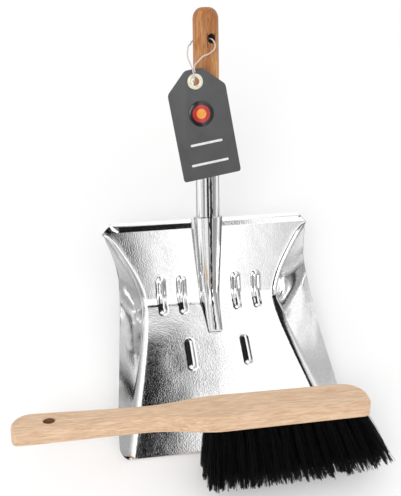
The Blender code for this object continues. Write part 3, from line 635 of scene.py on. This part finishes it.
def make_wood_handle(mat, bore):
    spigot, start, end = TUBE_R - TUBE_WALL - GAP, TUBE_OUT + GAP, TUBE_OUT + WOOD_OUT
    shape = [(spigot - 1.2 * MM, start - WOOD_IN), (spigot, start - WOOD_IN + 1.5 * MM), (spigot, start)]
    shape += [(WOOD_R - 1.0 * MM, start), (WOOD_R - 0.3 * MM, start + 0.3 * MM), (WOOD_R, start + 1.2 * MM)]
    shape += [(WOOD_R, start + (end - WOOD_NOSE - start) * k / 8) for k in range(1, 9)]
    for turn in (math.radians(d) for d in range(9, 91, 9)):
        shape.append((WOOD_NOSE_FLAT + (WOOD_R - WOOD_NOSE_FLAT) * math.cos(turn),
                      end - WOOD_NOSE + WOOD_NOSE * math.sin(turn)))
    verts, faces = lathe(shape, 96)
    handle = new_object("wooden_handle_fine", verts, faces, mat)
    across = Matrix.Rotation(WOOD_HOLE_TURN, 4, "Z") @ Matrix.Rotation(math.radians(90), 4, "X")
    axis = Matrix.Translation((0, 0, end - WOOD_HOLE_BACK)) @ across
    verts, faces = lathe(drill_profile(WOOD_HOLE_R, -WOOD_R, WOOD_R, HANDLE_MOUTH), 48)
    carve(handle, new_object("hole_cutter", verts, faces, mat, matrix=axis))
    shade_bore(handle, axis, WOOD_HOLE_R + 0.6 * MM, bore)
    sharpen(handle, 32)
    handle.data.transform(handle_matrix())
    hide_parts("wooden_handle")
    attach(handle, "dustpan")


def drill_profile(radius, low, high, mouth):
    """Profile that cuts a hole from height low to high, its edges eased at both ends."""
    upper = [(radius + wider * MM, high + out * MM) for wider, out in mouth]
    return [(radius + wider * MM, low - out * MM) for wider, out in mouth[::-1]] + upper


def carve(ob, cutter):
    """Cuts the cutter out of the object and removes the cutter."""
    mod = ob.modifiers.new("cut", "BOOLEAN")
    mod.operation, mod.solver, mod.object = "DIFFERENCE", "EXACT", cutter
    apply_modifiers(ob)
    bpy.data.objects.remove(cutter, do_unlink=True)


def shade_bore(ob, axis, radius, mat):
    """Gives the walls of a drilled hole their own darker material: painted shade for the dimness inside the
    hole.
    """
    ob.data.materials.append(mat)
    back = axis.inverted()
    for poly in ob.data.polygons:
        q = back @ poly.center
        if math.hypot(q.x, q.y) < radius:
            poly.material_index = 1


# ---- hang tag ------------------------------------------------------------------------------------
def tag_matrix():
    """The tag's own axes: origin in its eyelet, Y up towards its neck and Z out of its face."""
    base = handle_matrix(TUBE_OUT + WOOD_OUT - EYELET_BACK)
    axes = Matrix(((-1, 0, 0, 0), (0, 0, 1, 0), (0, 1, 0, 0), (0, 0, 0, 1)))
    turn = axes @ Matrix.Rotation(TAG_TURN, 4, "Z")
    return base @ Matrix.Translation((-EYELET_X, WOOD_R + TAG_LIFT, 0)) @ turn


def rounded_outline(points, radius, steps):
    out = []
    for i, p in enumerate(points):
        p, before, after = Vector(p), Vector(points[i - 1]), Vector(points[(i + 1) % len(points)])
        a, b = p + (before - p).normalized() * radius, p + (after - p).normalized() * radius
        out += [turn_corner(a, p, b, k / steps) for k in range(steps + 1)]
    return out


def tag_outline():
    top, bottom = EYELET_DOWN, EYELET_DOWN - TAG_L
    pts = [(-TAG_NECK / 2, top), (-TAG_W / 2, top - TAG_SHOULDER), (-TAG_W / 2, bottom),
           (TAG_W / 2, bottom), (TAG_W / 2, top - TAG_SHOULDER), (TAG_NECK / 2, top)]
    return rounded_outline(pts, TAG_CORNER, 8)


def rule(name, width, high, at_y, mat):
    """A printed line: a very thin slip of ink on the card."""
    outline = rounded_outline([(x * width / 2, at_y + y * high / 2) for x, y in CORNERS], high * 0.45, 5)
    rings = [[Vector((p.x, p.y, TAG_T + above)) for p in outline] for above in (0.01 * MM, 0.04 * MM)]
    verts, faces = loft(rings)
    line = new_object(name, verts, faces, mat, "hang_tag", shade=False, matrix=tag_matrix())


def make_card(mat):
    outline = tag_outline()
    middle = EYELET_DOWN - TAG_L / 2
    rings = []
    for inset, z in ((0.25 * MM, 0.0), (0.0, 0.2 * MM), (0.0, TAG_T - 0.2 * MM), (0.25 * MM, TAG_T)):
        rings.append([Vector((p.x - math.copysign(inset, p.x), p.y - math.copysign(inset, p.y - middle), z))
                      for p in outline])
    verts, faces = loft(rings)
    tag = new_object("tag_card_fine", verts, faces, mat)
    hole = EYELET_IN + 1.3 * MM
    verts, faces = lathe([(hole, -2 * MM), (hole, 4 * MM)], 48)
    carve(tag, new_object("tag_cutter", verts, faces, mat))
    sharpen(tag, 30)
    tag.data.transform(tag_matrix())
    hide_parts("tag_card")
    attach(tag, "hang_tag")


def make_eyelet(mat):
    """Barrel through the card with a rolled flange in front and a turned edge behind."""
    barrel, low, high = EYELET_IN + 1 * MM, -GAP, TAG_T + 0.05 * MM
    shape = [(EYELET_IN, low - 0.3 * MM), (EYELET_IN + 0.3 * MM, low - 0.6 * MM),
             (barrel + 1 * MM, low - 0.5 * MM), (barrel + 1.2 * MM, low), (barrel, low), (barrel, high),
             (EYELET_OUT - 0.1 * MM, high), (EYELET_OUT, high + 0.25 * MM)]
    for k in range(7):
        crown = (0.6 + 0.6 * math.sin(math.pi * k / 7)) * MM
        shape.append((EYELET_OUT - 0.3 * MM - 2.9 * MM * k / 6, high + crown))
    shape.append((EYELET_IN, high + 0.2 * MM))
    verts, faces = lathe(shape, 64, wrap=True)
    eyelet = new_object("tag_eyelet_fine", verts, faces, mat, "hang_tag", matrix=tag_matrix())
    sharpen(eyelet, 50)
    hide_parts("tag_eyelet")


def make_badge(inks):
    """Domed round badge with three plain concentric rings, its inks given from the outside in."""
    base = TAG_T + 0.05 * MM
    sides, steps = 72, 26
    shape = [(BADGE_R - 0.2 * MM, base), (BADGE_R, base + 0.25 * MM)]
    for out in (1 - k / steps for k in range(1, steps + 1)):
        dome = (BADGE_T - 0.1 * MM) * (1 - out ** 2) ** 0.8
        shape.append((BADGE_R * out + 0.05 * MM, base + 0.3 * MM + dome))
    verts, faces = lathe(shape, sides)
    place = tag_matrix() @ Matrix.Translation((0, -BADGE_DOWN, 0))
    badge = new_object("tag_badge_fine", verts, faces, None, "hang_tag", matrix=place)
    for ink in inks:
        badge.data.materials.append(ink)
    for k, poly in enumerate(badge.data.polygons):
        reach = shape[k // sides][0] / BADGE_R
        poly.material_index = sum(reach <= edge for edge in BADGE_RINGS)
    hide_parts("tag_badge")


def spline(points, per):
    """Smooth curve through the points, with so many steps between neighbours."""
    out = []
    last = len(points) - 1
    for i in range(last):
        p0, p1, p2, p3 = points[max(0, i - 1)], points[i], points[i + 1], points[min(last, i + 2)]
        for k in range(per):
            t = k / per
            out.append(0.5 * ((2 * p1) + (p2 - p0) * t + (2 * p0 - 5 * p1 + 4 * p2 - p3) * t * t
                              + (3 * p1 - p0 - 3 * p2 + p3) * t ** 3))
    return out + [points[-1]]


def string_path():
    """The loop of string: up through the eyelet, round the handle's left, through its hole and back."""
    h = handle_matrix(TUBE_OUT + WOOD_OUT - WOOD_HOLE_BACK) @ Matrix.Rotation(WOOD_HOLE_TURN, 4, "Z")
    t = tag_matrix()

    def hole(x, y, z):
        return h @ Vector((x * MM, y * MM, z * MM))

    def tag(x, y, z):
        return t @ Vector((x * MM, y * MM, z * MM))

    back = [tag(-1.2, 0.5, -4.0), tag(-1.3, 0.0, 0.6), tag(-0.9, 3.4, 3.7), tag(-0.6, 7.8, 3.7),
            tag(-1.0, 14.0, 2.6)]
    left = [tag(-1.9, 23.5, -3.8), tag(1.2, 32.0, -9.0), hole(13.5, -5.5, -5.0), hole(7.5, -13.8, -2.2)]
    through = [hole(0.4, -13.4, 0.3), hole(0.0, -6.0, 0.0), hole(0.0, 6.0, 0.0), hole(-0.3, 11.4, -0.5)]
    front = [hole(-1.5, 14.3, -3.2), hole(-2.3, 14.6, -7.5), hole(0.6, 15.0, -11.3), hole(6.2, 15.6, -14.4)]
    down = [hole(11.3, 16.0, -16.0), hole(15.8, 15.8, -20.0), tag(1.3, 14.0, 3.2), tag(1.0, 8.4, 3.8)]
    return spline(back + left + through + front + down, STRING_STEPS)


def make_string(mat):
    """Two-ply twisted thread along the loop."""
    path = string_path()
    rings, side, turned = [], None, 0.0
    for i, p in enumerate(path):
        before, after = path[max(i - 1, 0)], path[min(i + 1, len(path) - 1)]
        d = (after - before).normalized()
        side = d.orthogonal().normalized() if side is None else (side - d * side.dot(d)).normalized()
        up = d.cross(side)
        turned += (p - before).length / STRING_LAY * 2 * math.pi / STRING_PLIES
        ring = []
        for j in range(STRING_SIDES):
            phi = 2 * math.pi * j / STRING_SIDES
            r = STRING_R * (0.80 + 0.20 * abs(math.cos((phi - turned) * STRING_PLIES / 2)))
            ring.append(p + (side * math.cos(phi) + up * math.sin(phi)) * r)
        rings.append(ring)
    verts, faces = loft(rings)
    string = new_object("tag_string_fine", verts, faces, mat, "dustpan")
    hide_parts("tag_string")


# ---- brush ---------------------------------------------------------------------------------------
def block_half(x, side):
    """Half width at x; side +1 is the back edge, -1 the front one."""
    t = x / BLOCK_L
    neck = NECK_BACK if side > 0 else NECK_FRONT
    flare = smooth((t - FLARE_FROM) / (FLARE_TO - FLARE_FROM))
    half = GRIP_HALF + (neck - GRIP_HALF) * smooth(t / FLARE_FROM) + (HEAD_HALF - neck) * flare
    return half + (HEEL_SWELL * flare * min(1, (1 - t) / (1 - FLARE_TO)) if side < 0 else 0)


def block_side(side, inset, corner_steps=16, edge_steps=60):
    """Outline of one long edge of the block, pulled in by the inset, from the heel's end to the toe's."""
    grip_r, toe_r = (GRIP_BACK_R, TOE_BACK_R) if side > 0 else (GRIP_FRONT_R, TOE_FRONT_R)
    turns = [math.radians(90 * k / corner_steps) for k in range(corner_steps + 1)]
    start, end = block_half(grip_r, side), block_half(BLOCK_L - toe_r, side)
    points = [(grip_r - (grip_r - inset) * math.cos(a), start - grip_r + (grip_r - inset) * math.sin(a))
              for a in turns]
    stations = [BLOCK_L * k / edge_steps for k in range(5, 55)]
    points += [(x, block_half(x, side) - inset) for x in stations]
    points += [(BLOCK_L - toe_r + (toe_r - inset) * math.cos(a), end - toe_r + (toe_r - inset) * math.sin(a))
               for a in turns[::-1]]
    return [(x, side * y) for x, y in points]


def block_rings(steps=8):
    """Outlines of the block from the top face (local Z = 0) down to the bristle side."""
    rings = []
    for r, sign, base in ((TOP_ROUND, -1, 0.0), (BOTTOM_ROUND, 1, -BLOCK_T)):
        levels = [(r * (1 - math.sin(a)), base + sign * r * (1 - math.cos(a)))
                  for a in (math.radians(90 * k / steps) for k in range(steps + 1))]
        for inset, z in levels[::-sign]:
            rings.append([Vector((x, y, z)) for x, y in block_side(1, inset) + block_side(-1, inset)[::-1]])
    return rings


def tuft_axis(i, j):
    """Root, direction and depth of the tuft in column i, counted from the heel, and row j."""
    t = i / (TUFT_COLS - 1)
    row = j - (TUFT_ROWS - 1) / 2
    root = Vector((FIELD_FROM + (FIELD_TO - FIELD_FROM) * t, ROW_PITCH * row, -BLOCK_T))
    lean = HEEL_LEAN + (TOE_LEAN - HEEL_LEAN) * t ** 1.15
    depth = TUFT_LEN * (1 - TOE_SHORTER * (0.3 * t + 0.7 * t ** 6))
    return root, Vector((math.tan(lean), math.tan(ROW_SPREAD * row), -1.0)), depth


def brush_matrix():
    """X runs along the block from heel to toe, Z out of its top; its height comes from the frame."""
    x = Vector((math.cos(BRUSH_YAW) * math.cos(BRUSH_PITCH), math.sin(BRUSH_YAW) * math.cos(BRUSH_PITCH),
                math.sin(BRUSH_PITCH)))
    flat = (Vector((0, 0, 1)) - x * x.z).normalized()
    z = flat * math.cos(BRUSH_LEAN) + flat.cross(x) * math.sin(BRUSH_LEAN)
    rot = Matrix((x, z.cross(x), z)).transposed().to_4x4()
    rot.translation = Vector((BRUSH_X, BRUSH_Y, 0))
    low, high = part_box("brush_block")
    heights = [(rot @ p).z for ring in block_rings() for p in ring]
    rot.translation.z += (low.z + high.z) / 2 - (min(heights) + max(heights)) / 2
    return rot


def make_block(mat, place, bore):
    verts, faces = loft(block_rings())
    block = new_object("brush_block_fine", verts, faces, mat)
    axis = Matrix.Translation((HANG_AT, 0, 0))
    verts, faces = lathe(drill_profile(HANG_R, -BLOCK_T, 0.0, BLOCK_MOUTH), 56)
    carve(block, new_object("hang_cutter", verts, faces, mat, matrix=axis))
    shade_bore(block, axis, HANG_R + 0.1 * MM, bore)
    sharpen(block, 32)
    block.data.transform(place)
    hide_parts("brush_block")
    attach(block, "brush")


def make_bristles(mat, place):
    """Every tuft as a spray of thin tapering fibres in clumps, trimmed ragged at the tips.

    u and v place a clump in its tuft, and a and b a fibre, as shares of the tuft's radius."""
    rng = random.Random(4)
    verts, faces = [], []
    pitch = (FIELD_TO - FIELD_FROM) / (TUFT_COLS - 1)
    for i, j in ((i, j) for i in range(TUFT_COLS) for j in range(TUFT_ROWS)):
        root, d, down = tuft_axis(i, j)
        lift = rng.uniform(-0.9, 0.9) * MM
        for k in range(STRANDS):
            if k % CLUMP == 0:
                r, phi = math.sqrt(rng.random()), rng.uniform(0, 2 * math.pi)
                u, v, tip = r * math.cos(phi), r * math.sin(phi), rng.gauss(0, 1.1) * MM
            off, turn = math.sqrt(rng.random()), rng.uniform(0, 2 * math.pi)
            a, b = 0.75 * u + 0.5 * off * math.cos(turn), 0.75 * v + 0.5 * off * math.sin(turn)
            start = root + Vector((a * TUFT_HOLE_R, b * TUFT_HOLE_R, STRAND_SUNK))
            stray = WILD_STRAY if rng.random() < WILD_SHARE else STRAY
            end_x = (0.85 * u + 0.12 * a) * pitch * 0.78 + rng.gauss(0, stray) * MM
            end_y = (0.85 * v + 0.12 * b) * ROW_PITCH * 0.78 + rng.gauss(0, stray) * MM
            ragged = abs(rng.gauss(0, 0.8)) * MM
            snapped = (rng.random() < SNAPPED_SHARE) * rng.uniform(1.5, 5) * MM
            reach = down + min(lift + tip, 0.0) - ragged - snapped
            end = root + d * reach + Vector((end_x, end_y, 0))
            sway = Vector((rng.gauss(0, 0.9), rng.gauss(0, 0.9), 0)) * MM
            add_strand(verts, faces, start, end, sway, rng.uniform(0, 2.1))
    bristles = new_object("bristles", verts, faces, mat, matrix=place, recalc=False)
    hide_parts(*[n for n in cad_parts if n.startswith("tuft_")])
    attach(bristles, "brush")


def add_strand(verts, faces, start, end, sway, spin):
    """Three-sided fibre, bowed by the sway at half its length."""
    base = len(verts)
    for k in range(STRAND_RINGS):
        f = k / (STRAND_RINGS - 1)
        p = start.lerp(end, f) + sway * (4 * f * (1 - f))
        r = STRAND_R * (1.0 - 0.35 * f)
        for q in range(3):
            a = spin + q * 2 * math.pi / 3
            verts.append((p.x + r * math.cos(a), p.y + r * math.sin(a), p.z))
    for k in range(STRAND_RINGS - 1):
        a, b = base + 3 * k, base + 3 * k + 3
        faces.extend(((a, a + 1, b + 1, b), (a + 1, a + 2, b + 2, b + 1), (a + 2, a, b, b + 2)))
    faces.append((base + 2, base + 1, base))
    top = base + 3 * (STRAND_RINGS - 1)
    faces.append((top, top + 1, top + 2))


# ---- studio --------------------------------------------------------------------------------------
def aim_camera():
    data = bpy.data.cameras.new("camera")
    data.lens, data.sensor_width = CAM_LENS, CAM_SENSOR
    back = Vector((math.sin(CAM_YAW) * math.cos(CAM_ELEVATION), -math.cos(CAM_YAW) * math.cos(CAM_ELEVATION),
                   math.sin(CAM_ELEVATION)))
    x = Vector((0, 0, 1)).cross(back).normalized()
    y = back.cross(x)
    c, s = math.cos(CAM_ROLL), math.sin(CAM_ROLL)
    m = Matrix((x * c - y * s, x * s + y * c, back)).transposed().to_4x4()
    m.translation = CAM_TARGET + back * CAM_DISTANCE
    camera = bpy.data.objects.new("camera", data)
    camera.matrix_world = m
    bpy.context.scene.collection.objects.link(camera)
    bpy.context.scene.camera = camera


def softbox(name, at, look, size, power):
    data = bpy.data.lights.new(name, "AREA")
    data.size, data.energy = size, power
    lamp = bpy.data.objects.new(name, data)
    lamp.location = at
    lamp.rotation_euler = (Vector(look) - Vector(at)).to_track_quat("-Z", "Y").to_euler()
    bpy.context.scene.collection.objects.link(lamp)


def make_studio():
    world = bpy.data.worlds.new("studio")
    world.use_nodes = True
    background = world.node_tree.nodes["Background"]
    background.inputs["Color"].default_value = (1.0, 1.0, 1.0, 1.0)
    background.inputs["Strength"].default_value = WORLD_LEVEL
    bpy.context.scene.world = world
    n = Nodes("studio_floor")
    n.set(Base_Color=(0.93, 0.93, 0.93), Roughness=0.9, Specular_IOR_Level=0.1)
    corners = [(x * STUDIO_HALF, y * STUDIO_HALF, -FLOOR_DROP) for x, y in CORNERS]
    floor = new_object("studio_floor", corners, [(0, 1, 2, 3)], n.mat, recalc=False)
    softbox("key", KEY_AT, KEY_LOOK, KEY_SIZE, KEY_POWER)
    make_dome()


def dome_material():
    """Light that depends on direction: bands from left to right for each face of the pan, grey low down."""
    n = Nodes("studio_dome")
    at = n.coords((1 / DOME_R,) * 3)
    where = n.add("ShaderNodeSeparateXYZ", Vector=at)
    x, y, z = (where.outputs[axis] for axis in "XYZ")
    ragged = n.noise(at, 5.0, 2.0, 0.5)
    edge = n.total(x, n.span(y, 0.36, 0.50, -0.012, -0.036), n.span(y, -0.92, -0.82, -0.12, 0),
                   n.span(ragged, 0, 1, -0.025, 0.025))
    edge = n.span(edge, -1, 1, 0, 1)
    level = n.mix(n.span(y, 0.27, 0.31, 0, 1), n.ramp(edge, SEEN_BY_CREASE), n.ramp(edge, SEEN_BY_FLOOR))
    level = n.mix(n.span(y, -0.30, -0.42, 0, 1), level, n.ramp(edge, SEEN_BY_SLOPE))
    white = n.span(n.total(y, n.span(ragged, 0, 1, -0.04, 0.04)), 0.46, 0.505, 0, 1)
    level = n.mix(n.times(white, n.span(x, -0.06, 0.04, 0, 1)), level, (1.0, 1.0, 1.0))
    low = n.span(n.math("ABSOLUTE", z), 0.10, 0.42, 1.0, 0.0)
    streaks = n.noise(n.coords((0.35, 0.35, 2.2)), 1.6, 2.0, 0.5, 0.8)
    left = n.times(low, n.span(x, -0.75, -0.25, 1.0, 0.0))
    level = n.mix(left, level, n.span(streaks, 0.36, 0.60, 0.40, 1.0))
    right = n.times(low, n.span(x, 0.35, 0.8, 0.0, 1.0))
    level = n.mix(right, level, n.span(streaks, 0.3, 0.7, 0.18, 0.50))
    return n.set(Base_Color=(0, 0, 0), Roughness=1.0, Specular_IOR_Level=0.0, Emission_Color=level,
                 Emission_Strength=DOME_LEVEL)


def make_dome(bands=32, sides=64, below=math.radians(10)):
    """What the metal reflects: a half sphere, reaching a little below the floor, that only mirrors see."""
    ups = [(math.pi / 2 + below) * k / bands - below for k in range(bands + 1)]
    arc = [(DOME_R * math.cos(up), DOME_R * math.sin(up)) for up in ups]
    verts, faces = lathe(arc, sides, close_ends=False)
    dome = new_object("studio_dome", verts, faces, dome_material(), recalc=False)
    dome.visible_camera = dome.visible_diffuse = dome.visible_shadow = dome.visible_transmission = False


# ---- the scene -----------------------------------------------------------------------------------
aim_camera()
make_pan(zinc("zinc_pan"))
seam = plain("seam_shadow", (0.012, 0.012, 0.013), 0.6)
make_socket(zinc("zinc_socket", 0.93, 0.02, 0.20, 0.15), seam)
make_tube(zinc("zinc_tube", 0.93, 0.02, 0.20, 0.15), seam)
# painted shade: a dark brown on the walls of the handle's hole, standing in for the shadow inside it
handle_bore_shade = plain("handle_bore_painted_shade", (0.075, 0.030, 0.012), 0.7, vary=0.4)
make_wood_handle(wood("handle_beech", ORANGE_BEECH, handle_matrix(), 2, 0.46, 0.05, 0.8, 0.5), handle_bore_shade)
make_card(card_material())
make_eyelet(plain("cream_enamel", (0.78, 0.74, 0.58), 0.22, metallic=0.15, coat=0.7))
inks = (("ring_dark", (0.012, 0.011, 0.013)), ("ring_red", (0.46, 0.02, 0.02)),
        ("ring_amber", (0.80, 0.30, 0.02)))
make_badge([plain(name, colour, 0.25, coat=0.8) for name, colour in inks])
pale_ink = plain("pale_ink", (0.72, 0.72, 0.72), 0.5, bump=0.05)
rule("tag_rule_upper", 31 * MM, 2.2 * MM, -58.5 * MM, pale_ink)
rule("tag_rule_lower", 36 * MM, 2.2 * MM, -77.5 * MM, pale_ink)
make_string(plain("thread", (0.60, 0.53, 0.50), 0.8, scale=900.0, bump=0.4))
place = brush_matrix()
# painted shade: a darker brown on the walls of the block's hanging hole, standing in for the shadow inside it
drilled = plain("block_bore_painted_shade", (0.21, 0.10, 0.042), 0.7, vary=0.4)
make_block(wood("block_beech", PALE_BEECH, place, 0, 0.50, 0.03, 0.35, 0.2), place, drilled)
make_bristles(bristle_material(), place)
make_studio()
bpy.context.scene.view_settings.view_transform = "Standard"
